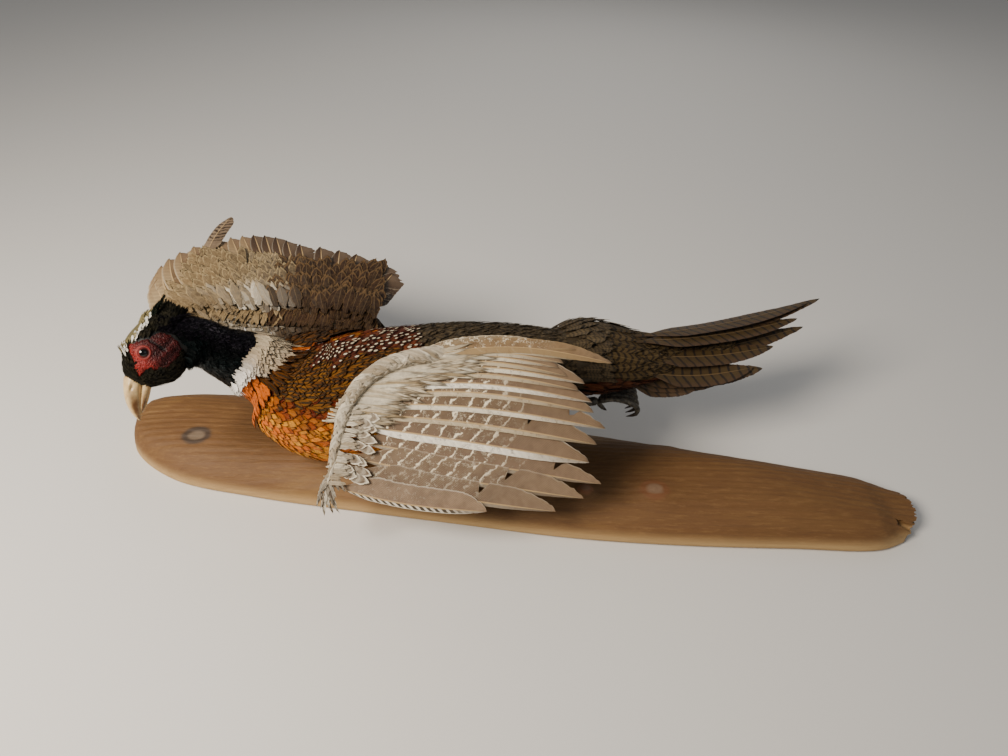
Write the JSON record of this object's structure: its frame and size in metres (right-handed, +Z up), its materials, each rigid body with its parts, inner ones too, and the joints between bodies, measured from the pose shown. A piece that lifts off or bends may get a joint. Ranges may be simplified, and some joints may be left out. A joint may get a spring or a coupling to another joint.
{
  "type": "taxidermy pheasant on driftwood",
  "caption": "Mounted cock ring-necked pheasant with half-spread wings, head turned down to its left, lying along a flat-bottomed slab of driftwood.",
  "frame": {"origin": "middle of the driftwood's flat underside", "axes": "+X along the slab from the bill towards the tail, +Y to the bird's right, +Z up"},
  "size_m": [0.7888, 0.3346, 0.2092],
  "materials": {
    "driftwood": "weathered, smooth, worn pale along its edges",
    "body_feathers": "copper body feathers with dark scalloped edges",
    "neck_feathers": "glossy green-black plush above a white collar",
    "face": "matt red wattled skin",
    "bill": "pale satin horn",
    "eye": "polished dark glass eye",
    "wing_feathers": "taupe flight feathers with pale bars",
    "tail_feathers": "olive-brown barred tail feathers",
    "foot_scales": "dark grey scaly skin"
  },
  "bodies": {
    "root": {"driftwood": "driftwood", "trunk": "body_feathers", "neck": "neck_feathers", "head": "face", "bill_upper": "bill", "bill_lower": "bill", "eye_left": "eye", "eye_right": "eye", "wing_left_arm": "wing_feathers", "wing_left_coverts": "wing_feathers", "wing_left_secondaries": "wing_feathers", "wing_left_primaries": "wing_feathers", "wing_left_alula": "wing_feathers", "wing_right_arm": "wing_feathers", "wing_right_coverts": "wing_feathers", "wing_right_secondaries": "wing_feathers", "wing_right_primaries": "wing_feathers", "wing_right_alula": "wing_feathers", "tail_coverts": "tail_feathers", "tail_feathers": "tail_feathers", "leg_left": "body_feathers", "leg_right": "body_feathers", "foot_left": "foot_scales", "foot_right": "foot_scales"}
  },
  "joints": []
}
